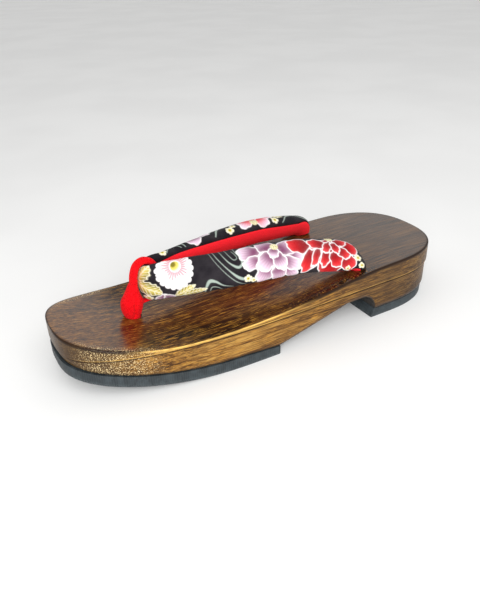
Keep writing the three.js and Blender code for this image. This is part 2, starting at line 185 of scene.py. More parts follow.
def strips_across(row, index, first_new, flat, columns):
    """Strips from each point of a mirrored row across to its mirror image. The front end closes in a fan,
    and so does the rear end, unless it is a straight edge of flat points."""
    count = len(row)
    front = count // 2
    right = np.arange(flat + 1, front)
    left = count - right
    share = np.arange(1, columns + 1)[None, :, None] / (columns + 1)
    points = (row[right][:, None] + (row[left] - row[right])[:, None] * share).reshape(-1, 3)
    inner = first_new + np.arange(len(points)).reshape(-1, columns)
    body = np.concatenate([index[right][:, None], inner, index[left][:, None]], 1)
    fans = [np.stack([body[-1, 1:], body[-1, :-1], np.full(columns + 1, index[front])], 1)]
    if flat:
        rear = index[np.arange(flat, -flat - 1, -1) % count]
        body = np.concatenate([rear[None], body])
    else:
        fans.append(np.stack([body[0, :-1], body[0, 1:], np.full(columns + 1, index[0])], 1))
    quads = np.stack([body[:-1, 1:], body[:-1, :-1], body[1:, :-1], body[1:, 1:]], -1).reshape(-1, 4)
    return points, quads, np.concatenate(fans)


def walls(index):
    """Quads between each ring of point numbers and the next."""
    ahead = np.roll(index, -1, 1)
    return np.stack([index[:-1], ahead[:-1], ahead[1:], index[1:]], -1).reshape(-1, 4)


def plate(ring, profile, flat, columns):
    """Closed body: each row of the profile sets the ring in along its normals and lifts it to a height.
    Strips across close the first and the last row."""
    plan = ring + inward(ring) * profile[..., :1]
    rows = np.concatenate([plan, profile[..., 1:]], -1)
    index = np.arange(rows.shape[0] * rows.shape[1]).reshape(rows.shape[:2])
    points, top_quads, top_fans = strips_across(rows[-1], index[-1], index.size, flat, columns)
    more, low_quads, low_fans = strips_across(rows[0], index[0], index.size + len(points), flat, columns)
    verts = np.concatenate([rows.reshape(-1, 3), points, more])
    faces = np.concatenate([walls(index), top_quads, low_quads[:, ::-1]]).tolist()
    faces += np.concatenate([top_fans, low_fans[:, ::-1]]).tolist()
    return verts, faces


def mesh_piece(name, verts, faces):
    """A smooth-shaded object from points in millimetres."""
    mesh = bpy.data.meshes.new(name)
    mesh.from_pydata(verts * MM, [], faces)
    mesh.shade_smooth()
    mesh.update()
    piece = bpy.data.objects.new(name, mesh)
    bpy.context.scene.collection.objects.link(piece)
    return piece


def drill(hole, side):
    """An upright round cutter from the floor of a hole to well above the deck."""
    angle = np.linspace(0, 2 * np.pi, HOLE_SIDES, endpoint=False)
    circle = np.stack([np.cos(angle), np.sin(angle), 0 * angle], 1) * hole["radius"]
    low = circle + (side * hole["x"], hole["y"], hole["floor"])
    index = np.arange(2 * HOLE_SIDES).reshape(2, HOLE_SIDES)
    faces = walls(index).tolist() + [index[0, ::-1].tolist(), index[1].tolist()]
    return mesh_piece("drill", np.concatenate([low, low + (0, 0, 2 * GROOVE_TOP)]), faces)


def finished(piece):
    """The piece with its modifiers worked into its mesh."""
    bpy.context.view_layer.update()
    seen = piece.evaluated_get(bpy.context.evaluated_depsgraph_get())
    piece.data = bpy.data.meshes.new_from_object(seen)
    piece.modifiers.clear()
    return piece


def points_of(piece):
    """The piece's points in millimetres."""
    flat = np.empty(len(piece.data.vertices) * 3, np.float32)
    piece.data.vertices.foreach_get("co", flat)
    return flat.reshape(-1, 3).astype(float) / MM


def store(piece, name, values, kind="FLOAT", field="value"):
    """Stores a number, vector or colour for each point, for the piece's material to read."""
    layer = piece.data.attributes.new(name, kind, "POINT")
    layer.data.foreach_set(field, np.asarray(values, np.float32).ravel())


places = outline_places()
base_ring = mirrored_ring(half_width(places), places)
along = base_ring[:, 1]
tier_top = np.full(len(along), GROOVE_TOP - GROOVE_HEIGHT)
low_edge = wood_underside(along)
bevel_top = np.minimum(low_edge + FOOT_BEVEL["height"], tier_top - SEAT_GAP)
lip = np.full(len(along), GROOVE_TOP)
deck_edge = deck_height(along)
under_edge = np.maximum(deck_edge - EDGE_BAND, lip + SEAT_GAP)
under_groove = np.maximum(tier_top - GROOVE_SHADE, (bevel_top + tier_top) / 2)
over_groove = np.minimum(lip + GROOVE_SHADE, (lip + under_edge) / 2)
tier_foot = TIER_SETBACK + FOOT_BEVEL["setback"]
base_corners = [
    (tier_foot + UNDERSIDE_INSET, low_edge),
    (tier_foot, low_edge),
    (TIER_SETBACK, bevel_top),
    (TIER_SETBACK, under_groove),
    (TIER_SETBACK, tier_top),
    (TIER_SETBACK + GROOVE_DEPTH, tier_top + GROOVE_HEIGHT / 2),
    (0, lip),
    (0, over_groove),
    (0, under_edge),
    (0, deck_edge),
    (EDGE_BAND, deck_edge),
]
base_profile = rounded_profile(base_corners, CORNER_RADII)
base = mesh_piece("wooden_base", *plate(base_ring, base_profile, 0, DECK_COLUMNS))
drills = [drill(LOOP_HOLE, 1), drill(TAIL_HOLE, 1), drill(TAIL_HOLE, -1)]
for cutter in drills:
    cut = base.modifiers.new("hole", "BOOLEAN")
    cut.operation = "DIFFERENCE"
    cut.solver = "EXACT"
    cut.object = cutter
finished(base)
for cutter in drills:
    bpy.data.objects.remove(cutter)
base.data.set_sharp_from_angle(angle=np.radians(SHARP_EDGE))


def edge_gap(x, y):
    """Plan distance to the outline: the gap across to it, shortened by the outline's slope there."""
    nudge = 0.02
    ahead = half_width(np.minimum(y + nudge, HALF_LENGTH))
    behind = half_width(np.maximum(y - nudge, -HALF_LENGTH))
    slope = (ahead - behind) / (2 * nudge)
    return (half_width(y) - np.abs(x)) / np.sqrt(1 + slope ** 2)


def stretch(value, start, full, fade, end):
    """1 from full to fade, with smooth steps down to 0 at the start and at the end."""
    return smooth(start, full, value) * smooth(end, fade, value)


base_x, base_y, base_z = points_of(base).T
below_deck = deck_height(base_y) - base_z
over_lip = base_z - GROOVE_TOP
from_edge = edge_gap(base_x, base_y)
on_deck = smooth(0.9, 0.1, below_deck)
near_rim = smooth(30, 7, from_edge)
ball_side = stretch(base_y, -24, 14, 76, 98)
ball_deck = stretch(base_y, -52, 24, 66, 104)
# Gold on the ball's rounded edge: partly real wear, partly a painted highlight.
edge_wear_and_highlight = smooth(0.55, 0.1, from_edge) * smooth(1.1, 0.6, below_deck) * ball_side
# Painted highlight along the groove's lip.
lip_highlight = stretch(over_lip, -0.1, 0.05, 0.2, GROOVE_SHADE) * smooth(1.0, 0.4, from_edge)
lip_highlight = lip_highlight * smooth(121, 96, base_y) * (0.5 + 0.5 * smooth(-30, 10, base_y))
# A dark line painted along the deck's edge away from the ball.
rim_line = smooth(1.5, 0.6, from_edge) * smooth(1.9, 1.2, below_deck) * (1 - ball_side)
# Painted shade in the groove.
groove_shade = stretch(over_lip, -GROOVE_HEIGHT - GROOVE_SHADE, -GROOVE_HEIGHT - 0.1, -0.1, 0.05)
groove_shade = groove_shade * (0.75 - 0.1 * ball_side)
# Painted shade low on the heel's side.
heel_foot_shade = 0.95 * smooth(12.0, 6.6, base_z) * smooth(-60, -98, base_y)
rim_band = stretch(from_edge, 0.4, 1.2, 3.5, 10.5) * stretch(base_y, -68, -56, -16, 26)
# Where the painted glints go: the toe's side and the rim of its deck.
toe_face = np.maximum(0.75 * (1 - on_deck), smooth(6.0, 0.5, from_edge) * smooth(3.0, 1.0, below_deck))
# The heel and the toe are darker: partly painted shade on ends that face away from the lamps, partly heavier
# scorching.
heel_shade_and_smoke = smooth(-12, -74, base_y) * (0.85 - 0.3 * on_deck)
toe_shade_and_smoke = smooth(80, 104, base_y) * 1.15 * (1 - on_deck)
base_masks = {
    "deck_face": on_deck,
    "under_face": smooth(0.7, 0.1, base_z - wood_underside(base_y)),
    "worn_edge_and_highlight": np.maximum(edge_wear_and_highlight, 0.6 * lip_highlight),
    "painted_shade_and_dark_edge": np.maximum(np.maximum(rim_line, groove_shade), heel_foot_shade),
    "scorched_rim": rim_band * on_deck,
    "painted_toe_glints": stretch(base_y, 70, 88, 104, 118) * toe_face,
    "brushed": np.where(on_deck > 0.5, 0.18 + 0.82 * ball_deck, 0.8),
    "ball_deck": ball_deck * on_deck * (0.85 + 0.6 * near_rim),
    "deep_deck": smooth(108, 72, base_y) * on_deck * (0.45 + 0.8 * near_rim * smooth(8, 46, base_y)),
    "end_shade_and_smoke": np.maximum(heel_shade_and_smoke, toe_shade_and_smoke),
}
for name, values in base_masks.items():
    store(base, name, values)


def srgb(red, green, blue):
    """Linear colour of an 8-bit display colour, with full alpha."""
    display = np.array([red, green, blue]) / 255
    linear = np.where(display <= 0.04045, display / 12.92, ((display + 0.055) / 1.055) ** 2.4)
    return (*linear.tolist(), 1.0)


class Nodes:
    """Short ways to add nodes to one shader tree. An input is a value to set or a socket to join."""

    def __init__(self, tree):
        self.tree = tree

    def feed(self, node, inputs):
        """Sets or joins inputs of a node."""
        for name, value in inputs.items():
            if isinstance(value, bpy.types.NodeSocket):
                self.tree.links.new(value, node.inputs[name])
            else:
                node.inputs[name].default_value = value

    def add(self, kind, inputs, **settings):
        """A new node, with its settings made first."""
        node = self.tree.nodes.new(kind)
        for name, value in settings.items():
            setattr(node, name, value)
        self.feed(node, inputs)
        return node

    def maths(self, operation, *values):
        """One step of arithmetic."""
        return self.add("ShaderNodeMath", dict(enumerate(values)), operation=operation).outputs[0]

    def times(self, *values):
        """The product of all values."""
        return reduce(lambda first, second: self.maths("MULTIPLY", first, second), values)

    def total(self, *parts):
        """The sum of all parts, each the product of its values."""
        products = [self.times(*part) for part in parts]
        return reduce(lambda first, second: self.maths("ADD", first, second), products)

    def ranged(self, value, low, high, to_low=0.0, to_high=1.0):
        """A smooth step between two edges, from one result to another."""
        inputs = {"Value": value, "From Min": low, "From Max": high, "To Min": to_low, "To Max": to_high}
        return self.add("ShaderNodeMapRange", inputs, interpolation_type="SMOOTHSTEP").outputs[0]

    def over(self, colour, tint, *shares):
        """A colour under a tint, which covers it by the product of the shares."""
        inputs = {0: self.times(*shares), 6: colour, 7: tint}
        return self.add("ShaderNodeMix", inputs, data_type="RGBA").outputs[2]

    def noise(self, vector, scale, detail=2.0, roughness=0.5, distortion=0.0):
        """Cloudy noise from 0 to 1."""
        values = (vector, scale, detail, roughness, distortion)
        names = ("Vector", "Scale", "Detail", "Roughness", "Distortion")
        return self.add("ShaderNodeTexNoise", dict(zip(names, values))).outputs[0]

    def ramp(self, tone, colours):
        """A colour that runs through evenly spaced colours as the tone goes from 0 to 1."""
        node = self.add("ShaderNodeValToRGB", {"Fac": tone})
        stops = node.color_ramp.elements
        while len(stops) < len(colours):
            stops.new(1.0)
        for place, (stop, colour) in enumerate(zip(stops, colours)):
            stop.position = place / (len(colours) - 1)
            stop.color = colour
        return node.outputs[0]

    def place(self):
        """Coordinates on the object."""
        return self.add("ShaderNodeTexCoord", {}).outputs["Object"]

    def wave(self, vector, axis, pitch):
        """Sine of the way along one axis, times a pitch."""
        split = self.add("ShaderNodeSeparateXYZ", {"Vector": vector})
        return self.maths("SINE", self.times(split.outputs[axis], pitch))

    def stored(self, name, output="Fac"):
        """What the piece stores at its points under a name."""
        return self.add("ShaderNodeAttribute", {}, attribute_name=name).outputs[output]

    def clouded(self, vector, scale, amount, colour, tint):
        """A colour tinted in clouds by the shared node group, and the clouds."""
        inputs = {"Vector": vector, "Scale": scale, "Amount": amount, "Colour": colour, "Tint": tint}
        group = bpy.data.node_groups["clouded_tint"]
        return self.add("ShaderNodeGroup", inputs, node_tree=group).outputs


class Finish(Nodes):
    """A material with one Principled shader, its unchanging values set on its own sockets."""

    def __init__(self, name, **constants):
        self.material = bpy.data.materials.new(name)
        self.material.use_nodes = True
        super().__init__(self.material.node_tree)
        self.tree.nodes.clear()
        values = {socket.replace("_", " "): value for socket, value in constants.items()}
        self.shader = self.add("ShaderNodeBsdfPrincipled", values)
        self.add("ShaderNodeOutputMaterial", {"Surface": self.shader.outputs[0]})

    def surface(self, colour, roughness, height, strength, distance):
        """Gives the shader its colour, roughness and bump, and returns the material."""
        bump = self.add("ShaderNodeBump", {"Strength": strength, "Distance": distance, "Height": height})
        self.feed(self.shader, {"Base Color": colour, "Roughness": roughness, "Normal": bump.outputs[0]})
        return self.material


def cloud_group():
    """Node group that tints a colour by an amount in soft clouds of noise, and gives the noise too."""
    tree = bpy.data.node_groups.new("clouded_tint", "ShaderNodeTree")
    kinds = {"Vector": "Vector", "Scale": "Float", "Amount": "Float", "Colour": "Color", "Tint": "Color"}
    for name, kind in kinds.items():
        tree.interface.new_socket(name, in_out="INPUT", socket_type="NodeSocket" + kind)
    for name, kind in {"Colour": "Color", "Clouds": "Float"}.items():
        tree.interface.new_socket(name, in_out="OUTPUT", socket_type="NodeSocket" + kind)
    group = Nodes(tree)
    given = tree.nodes.new("NodeGroupInput").outputs
    clouds = group.noise(given["Vector"], given["Scale"], 2.0, 0.55)
    colour = group.over(given["Colour"], given["Tint"], group.ranged(clouds, 0.36, 0.66), given["Amount"])
    group.add("NodeGroupOutput", {"Colour": colour, "Clouds": clouds})


cloud_group()
DECK_TONES = (srgb(40, 20, 5), srgb(82, 47, 14), srgb(118, 74, 26), srgb(152, 106, 44))
SIDE_TONES = (srgb(60, 36, 13), srgb(102, 67, 28), srgb(138, 97, 44), srgb(180, 138, 69))
GOLD_DASH = srgb(190, 136, 54)
GOLD_WEAR_AND_HIGHLIGHT = srgb(236, 188, 98)
PAINTED_GLINT = srgb(255, 226, 168)
CHAR = srgb(24, 11, 5)
CHAR_AND_SHADE = srgb(34, 20, 12)
SMOKE_AND_SHADE = srgb(57, 44, 32)
UNDERSIDE_SLATE = srgb(44, 45, 46)
GRAIN_SQUEEZES = (0.03, 0.055)


def wood_finish():
    """Scorched and brushed wood under lacquer. Grain, dashes and pores are noise drawn out along the block,
    and the base's masks say where each shows. Some masks paint light: glints on the toe, a highlight on the
    lip and on the ball's worn edge, shade in the groove and low on the heel, and in part the darker ends."""
    wood = Finish("lacquered_scorched_wood", Specular_IOR_Level=0.12, Coat_Roughness=0.2, Coat_IOR=1.7)
    place = wood.place()
    long_grain, short_grain = [
        wood.add("ShaderNodeMapping", {"Vector": place, "Scale": (1, squeeze, 1)}).outputs[0]
        for squeeze in GRAIN_SQUEEZES
    ]
    grain = wood.noise(long_grain, 1750, 3, 0.6, 0.1)
    streak = wood.noise(long_grain, 460, 3, 0.55, 0.15)
    bands = wood.noise(long_grain, 120)
    dashes = wood.noise(short_grain, 1900, 2.5, 0.55)
    pores = wood.noise(short_grain, 2700, 2, 0.6)
    # Speckle noise for the painted glints.
    glint_noise = wood.noise(place, 1900, 1)
    scales = wood.noise(place, 800, 3, 0.7)

    deck = wood.stored("deck_face")
    rim = wood.stored("scorched_rim")
    edge = wood.stored("painted_shade_and_dark_edge")
    tone = wood.ranged(wood.total((grain, 0.5), (streak, 0.32), (bands, 0.18)), 0.36, 0.64)
    colour = wood.over(wood.ramp(tone, SIDE_TONES), wood.ramp(tone, DECK_TONES), deck)
    colour = wood.over(colour, CHAR, wood.stored("deep_deck"), wood.ranged(streak, 0.35, 0.6, 0.86, 0.5))
    colour = wood.over(colour, GOLD_DASH, wood.stored("brushed"), wood.ranged(dashes, 0.55, 0.65, 0, 0.9))
    colour = wood.over(colour, CHAR, wood.ranged(pores, 0.44, 0.3, 0, 0.8))
    colour, clouds = wood.clouded(place, 46, 0.16, colour, CHAR_AND_SHADE)
    # Painted shade and heavier scorching on both ends.
    colour = wood.over(colour, SMOKE_AND_SHADE, wood.stored("end_shade_and_smoke"), 0.7)
    colour = wood.over(colour, CHAR, rim, wood.ranged(scales, 0.58, 0.48, 0, 0.95))
    colour = wood.over(colour, GOLD_DASH, rim, wood.ranged(scales, 0.6, 0.68, 0, 0.7))
    # Painted glints of light on the toe.
    colour = wood.over(colour, PAINTED_GLINT, wood.stored("painted_toe_glints"), wood.ranged(glint_noise, 0.54, 0.66, 0, 0.95))
    # Painted highlight on the lip, and wear gold with a painted highlight on the ball's edge.
    colour = wood.over(colour, GOLD_WEAR_AND_HIGHLIGHT, wood.stored("worn_edge_and_highlight"), wood.ranged(grain, 0.34, 0.56, 0.55, 1))
    # Painted shade in the groove and low on the heel, and a dark line along the deck's edge.
    colour = wood.over(colour, CHAR_AND_SHADE, edge, 0.92)
    # The underside, the heel's breast with it, is coloured dark slate.
    colour = wood.over(colour, UNDERSIDE_SLATE, wood.stored("under_face"), 0.9)

    lacquer = wood.total((deck, 1), (wood.stored("ball_deck"), -0.68), (edge, -1), (clouds, 0.1))
    wood.feed(wood.shader, {"Coat Weight": wood.ranged(lacquer, 0, 1, 0.08, 1)})
    height = wood.total((grain, 0.6), (pores, 0.4), (rim, scales, 2.5))
    return wood.surface(colour, wood.ranged(grain, 0.3, 0.7, 0.5, 0.3), height, 0.5, 0.00018)


base.data.materials.append(wood_finish())
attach(base, "root")
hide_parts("base")

# Rubber sheets
# Two sheets of cellular rubber glued under the wood, one from the toe to the waist and one under the
# heel. They are cut with a knife, which leaves faint upright ribs on their sides, and have a fine tread.
FORE_SETBACK = 0.8
HEEL_SETBACK = 1.6
HEEL_FRONT = {"top": -61.5, "bottom": -59.2}
SHEET_CORNER = {"radius": 0.9, "steps": 7, "clear": 0.4}
SHEET_EDGES = {"inset": 1.6, "tread": 0.55, "glue": 0.2}
EDGE_STEPS = 20
SHEET_ROWS = 2 * CORNER_STEPS + 2
SLATE = srgb(35, 42, 46)
PALE_SLATE = srgb(54, 62, 66)
RIB_SLATE = srgb(72, 80, 83)
SCUFF = srgb(104, 110, 112)


def sheet_plate(rear, places, half, bottom, top):
    """Outline and plate of a sheet. The outline is a straight rear edge from the middle out, a round
    corner, the half widths round to the tip, and the mirror image of all that. The profile is square,
    a little round at the tread and crisp at the glue line."""
    radius = SHEET_CORNER["radius"]
    turn = np.linspace(0, np.pi / 2, SHEET_CORNER["steps"])
    corner_y = rear + radius * (1 - np.cos(turn))
    corner_x = half(corner_y) - radius * (1 - np.sin(turn))
    edge_x = np.linspace(0, corner_x[0], EDGE_STEPS, endpoint=False)
    side_y = places[places > rear + radius + SHEET_CORNER["clear"]]
    x = np.concatenate([edge_x, corner_x, half(side_y)])
    y = np.concatenate([np.full(EDGE_STEPS, rear), corner_y, side_y])
    ring = mirrored_ring(x, y)
    low = bottom(ring[:, 1])
    high = top(ring[:, 1])
    inset = SHEET_EDGES["inset"]
    pairs = [(inset, low), (0, low), (0, high), (inset, high)]
    profile = rounded_profile(pairs, (SHEET_EDGES["tread"], SHEET_EDGES["glue"]))
    return ring, *plate(ring, profile, EDGE_STEPS, 2 * EDGE_STEPS - 1)


def mark_sheet(piece, ring, bottom):
    """Stores the way round the sheet, for its ribs, and how far each point is off the tread."""
    step = np.linalg.norm(np.roll(ring, -1, 0) - ring, axis=1)
    way = np.tile(np.append(0, np.cumsum(step)[:-1]), SHEET_ROWS)
    points = points_of(piece)
    round_way = np.zeros(len(points))
    round_way[: len(way)] = way
    store(piece, "way_round", round_way * MM)
    store(piece, "off_tread", points[:, 2] - bottom(points[:, 1]))


def rubber_finish():
    """Mottled slate rubber, scuffed near the tread, ribbed on the cut side and barred underneath."""
    slab = Finish("slate_rubber", Specular_IOR_Level=0.4)
    place = slab.place()
    cells = slab.noise(place, 2100, 2, 0.6)
    colour, mottle = slab.clouded(place, 240, 1, SLATE, PALE_SLATE)
    off_tread = slab.stored("off_tread")
    on_side = slab.ranged(off_tread, 0.2, 0.9)
    ribs = slab.maths("SINE", slab.total((slab.stored("way_round"), 5200), (mottle, 4)))
    bars = slab.wave(place, "Y", 2400)
    colour = slab.over(colour, RIB_SLATE, slab.ranged(ribs, -0.2, 1, 0, 0.2))
    scuff = slab.times(slab.ranged(off_tread, 2.6, 0.4), slab.ranged(cells, 0.45, 0.65))
    colour = slab.over(colour, SCUFF, scuff, 0.6)
    underneath = slab.maths("SUBTRACT", 1.0, on_side)
    height = slab.total((ribs, on_side, 0.3), (bars, underneath), (cells, 0.7))
    return slab.surface(colour, slab.ranged(mottle, 0.3, 0.7, 0.5, 0.72), height, 0.5, 0.00025)


def fore_half(y):
    """Half width of the fore sheet: the base's, less a setback."""
    return half_width(y, FORE_SETBACK)


def heel_half(y):
    """Half width of the heel sheet, which is built turned round: the base's at -y, less a setback."""
    return half_width(-y, HEEL_SETBACK, HEEL_SETBACK)


fore_ring, *fore_plate = sheet_plate(FORE_REAR["y"], places, fore_half, toe_spring, fore_top)
fore = mesh_piece("fore_rubber", *fore_plate)
mark_sheet(fore, fore_ring, toe_spring)

tail = HEEL_SETBACK - HALF_LENGTH
front_top, front_bottom = HEEL_FRONT["top"], HEEL_FRONT["bottom"]
heel_places = np.sort(-places[places > tail])
heel_ring, heel_verts, heel_faces = sheet_plate(
    -front_top, heel_places, heel_half, np.zeros_like, lambda y: 0 * y + HEEL_THICKNESS
)
heel_verts[:, 1] *= -1
front = front_bottom + (front_top - front_bottom) * heel_verts[:, 2] / HEEL_THICKNESS
heel_verts[:, 1] = tail + (heel_verts[:, 1] - tail) * (front - tail) / (front_top - tail)
heel = mesh_piece("heel_rubber", heel_verts, [face[::-1] for face in heel_faces])
mark_sheet(heel, heel_ring, np.zeros_like)

rubber = rubber_finish()
for sheet, node in ((fore, "fore_sole"), (heel, "heel_pad")):
    sheet.data.materials.append(rubber)
    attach(sheet, "root")
    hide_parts(node)

# Strap cover
# The outer half of a padded thong strap: a flat tube of printed black cotton stuffed with wadding. It
# folds double under the toe loop, and its two tails are gathered and drawn down through the base.
STRAP_SECTIONS = np.array([
    # y, x, z, tilt in degrees, half width, bulges of cover and lining, wraps of the cover at top and foot
    (67.2, 0, 43.9, 90, 9.6, 3.4, 3.4, 0.8, 0.3),
    (65.2, 4.2, 44.6, 88, 10.1, 3.5, 3.5, 0.79, 0.3),
    (60.8, 5.9, 45.1, 85, 10.3, 3.8, 3.8, 0.74, 0.3),
    (54, 7.5, 45.3, 79, 10.1, 4.3, 4.7, 0.58, 0.31),
    (45, 10.1, 45.7, 72, 10, 4.8, 5.8, 0.44, 0.32),
    (30, 14.6, 46.4, 58, 9.9, 5.2, 7.2, 0.38, 0.34),
    (15, 18.1, 47, 49, 10.1, 5.4, 8.2, 0.37, 0.37),
    (0, 20.7, 47.2, 43, 10.2, 5.5, 8.6, 0.37, 0.4),
    (-15, 22.6, 46.5, 41, 10.2, 5.5, 8.6, 0.37, 0.42),
    (-30, 24.5, 44.2, 39, 10.1, 5.3, 8, 0.36, 0.42),
    (-41, 26.4, 41.9, 37, 9.9, 5.1, 7.2, 0.28, 0.39),
    (-48.6, 28, 39.3, 34, 9.3, 4.9, 6.2, -0.1, 0.32),
    (-52.5, 29.2, 34.4, 26, 7.4, 4.5, 5, -0.5, 0.25),
    (-52.6, 29.6, 27.6, 15, 4.8, 4, 4, -0.55, 0.28),
    (-52.6, 29.6, 22.5, 10, 4.6, 3.9, 3.9, -0.55, 0.3),
])
PATH_STEPS = 6000
SEAM_GAP = 0.6
SEAM_TRIM = 0.045
SEAM_TURN = 0.06
COVER_ROWS = 860
COVER_COLUMNS = 84
SEAM_COLUMNS = 7
CHORD_COLUMNS = 4
TAIL_GATHERS = {"count": 9, "depth": 0.18, "reach": 15.0, "drop": 6.0}
TAIL_SEAT = {"flare": 1.6, "near": 1.0, "far": 4.0, "over": 1.5, "clear": 0.2}
FOLD_CREASES = {"run": 4.5, "depth": 0.18, "width": 1.3}
PADDING_WAVES = ((0.07, 0.31, 0.4), (0.05, 0.53, 1.9), (0.03, 0.97, 4.0))


def smooth_path(points, u):
    """Centripetal Catmull-Rom curve through points, at parameters counted in points."""
    ends = np.vstack([2 * points[0] - points[1], points, 2 * points[-1] - points[-2]])
    i = np.clip(np.floor(u).astype(int), 0, len(points) - 2)
    w = (u - i)[:, None]
    p0, p1, p2, p3 = ends[i], ends[i + 1], ends[i + 2], ends[i + 3]
    d0, d1, d2 = [
        np.maximum(((b - a) ** 2).sum(1, keepdims=True) ** 0.25, 1e-4)
        for a, b in ((p0, p1), (p1, p2), (p2, p3))
    ]
    leave = ((p1 - p0) / d0 - (p2 - p0) / (d0 + d1) + (p2 - p1) / d1) * d1
    arrive = ((p2 - p1) / d1 - (p3 - p1) / (d1 + d2) + (p3 - p2) / d2) * d1
    square = 3 * (p2 - p1) - 2 * leave - arrive
    cube = 2 * (p1 - p2) + leave + arrive
    return p1 + leave * w + square * w ** 2 + cube * w ** 3


def strap_frames(count):
    """Evenly spaced frames from the left tail round the fold to the right tail: place, width way, outward
    way, the three half sizes with the two wraps, and the run from the fold, positive on the left strand."""
    rows = np.concatenate([STRAP_SECTIONS[:0:-1], STRAP_SECTIONS])
    side = np.where(np.arange(len(rows)) < len(STRAP_SECTIONS) - 1, -1, 1)
    y, x, z, tilt = rows[:, :4].T
    slope = np.radians(tilt)
    spots = np.stack([side * x, y, z], 1)
    ways = np.stack([-side * np.cos(slope), 0 * y, np.sin(slope)], 1)
    fine = np.linspace(0, len(rows) - 1, PATH_STEPS + 1)
    path = smooth_path(spots, fine)
    way = np.append(0, np.cumsum(np.linalg.norm(np.diff(path, axis=0), axis=1)))
    u = np.interp(np.linspace(0, way[-1], count), way, fine)
    at = smooth_path(spots, u)
    travel = unit(np.gradient(at, axis=0))
    across = smooth_path(ways, u)
    across = unit(across - travel * (across * travel).sum(1, keepdims=True))
    run = way[-1] / 2 - np.linspace(0, way[-1], count)
    sizes = np.concatenate([smooth_path(rows[:, 4:7], u), smooth_path(rows[:, 7:], u)], 1)
    return at, across, np.cross(across, travel), sizes, run


def on_section(sizes, angle):
    """Points of the section at angles from outward, as (outward, across): two half ovals of one width,
    the cover's outwards and the lining's inwards."""
    half, cover, lining = sizes[:, :3].T[..., None]
    bulge = np.where(np.cos(angle) > 0, cover, lining)
    return np.stack([bulge * np.cos(angle), half * np.sin(angle)], -1)


def strap_section(sizes, first, last, columns):
    """Closed section of one half of the strap: the arc between two angles, then a rounded turn in at the
    seam, a straight chord, and a rounded turn out again."""
    trim = SEAM_TRIM * (last - first)
    angle = first[:, None] + trim[:, None] + (last - first - 2 * trim)[:, None] * np.linspace(0, 1, columns)
    arc = on_section(sizes, angle)
    seam_end = on_section(sizes, last[:, None])
    seam_start = on_section(sizes, first[:, None])
    chord_in = seam_end + (seam_start - seam_end) * SEAM_TURN
    chord_out = seam_start + (seam_end - seam_start) * SEAM_TURN
    t = np.linspace(0, 1, SEAM_COLUMNS + 1)[None, 1:, None]
    turn_in = parabola(arc[:, -1:], seam_end, chord_in, t)
    chord = chord_in + (chord_out - chord_in) * np.linspace(0, 1, CHORD_COLUMNS + 1)[None, 1:, None]
    turn_out = parabola(chord_out, seam_start, arc[:, :1], t)
    return np.concatenate([arc, turn_in, chord, turn_out[:, :-1]], 1)


def settled(points):
    """Points of the strap moved off the wood: what lies beside a tail's hole stays on the deck, and what
    has gone down the hole stays inside it."""
    x, y, z = np.moveaxis(points, -1, 0)
    middle = np.where(x < 0, -1, 1) * TAIL_HOLE["x"]
    away = np.stack([x - middle, y - TAIL_HOLE["y"]], -1)
    reach = np.linalg.norm(away, axis=-1)
    over = z - deck_height(y)
    radius = TAIL_HOLE["radius"]
    room = radius - SEAT_GAP + TAIL_SEAT["flare"] * np.maximum(over, 0)
    tail = smooth(radius + TAIL_SEAT["far"], radius + TAIL_SEAT["near"], reach) * (over < TAIL_SEAT["over"])
    pull = 1 + tail * (np.minimum(room / np.maximum(reach, 1e-6), 1) - 1)
    x = middle + away[..., 0] * pull
    y = TAIL_HOLE["y"] + away[..., 1] * pull
    outside = reach * pull > radius - SEAT_GAP + 0.01
    z = np.where(outside, np.maximum(z, deck_height(y) + TAIL_SEAT["clear"]), z)
    return np.stack([x, y, z], -1)


def lofted(rings):
    """Closed body through rings of equal count, with a fan at each end."""
    rows, count = rings.shape[:2]
    index = np.arange(rows * count).reshape(rows, count)
    ahead = np.roll(index, -1, 1)
    tips = rings[[0, -1]].mean(1)
    first = np.stack([np.full(count, index.size), ahead[0], index[0]], 1)
    last = np.stack([np.full(count, index.size + 1), index[-1], ahead[-1]], 1)
    verts = np.concatenate([rings.reshape(-1, 3), tips])
    return verts, walls(index).tolist() + first.tolist() + last.tolist()


def arc_ends(sizes, side):
    """Angles from outward between which one half's arc runs: the cover's, side 1, from the foot's seam
    round the outside to the top's, and the lining's, side -1, from there round the inside. A seam lies a
    wrap, in bulges of the lining, behind the section's widest line, and half a gap to its side."""
    lining, top, foot = sizes[:, 2:].T
    shift = side * SEAM_GAP / 2 / lining
    foot = np.arccos(shift - foot)
    top = np.arccos(shift - top)
    return (-foot, top) if side > 0 else (top, 2 * np.pi - foot)


def padded_half(count, columns, side):
    """Rings of one half of the strap. The section is carried along the frames, swells and sinks a little
    with the wadding, is gathered towards the tails, and creases on each side of the fold."""
    at, across, outward, sizes, run = strap_frames(count)
    section = strap_section(sizes, *arc_ends(sizes, side), columns)
    turn = np.linspace(0, 2 * np.pi, section.shape[1], endpoint=False)[None]
    place = run[:, None]
    swell = sum(
        size * np.sin(pitch * place + phase + 2 * np.sin(turn))
        for size, pitch, phase in PADDING_WAVES
    )
    to_tail = smooth(TAIL_GATHERS["reach"], 0, np.abs(run).max() - TAIL_GATHERS["drop"] - np.abs(place))
    gather = TAIL_GATHERS["depth"] * to_tail * np.cos(TAIL_GATHERS["count"] * turn)
    from_crease = (np.abs(place) - FOLD_CREASES["run"]) / FOLD_CREASES["width"]
    crease = FOLD_CREASES["depth"] * np.exp(-from_crease ** 2)
    section = section * (1 + (swell - gather - crease) / sizes[:, :1])[..., None]
    rings = at[:, None] + outward[:, None] * section[..., :1] + across[:, None] * section[..., 1:]
    return settled(rings), run


cover_rings, cover_run = padded_half(COVER_ROWS, COVER_COLUMNS, 1)
cover = mesh_piece("printed_strap", *lofted(cover_rings))

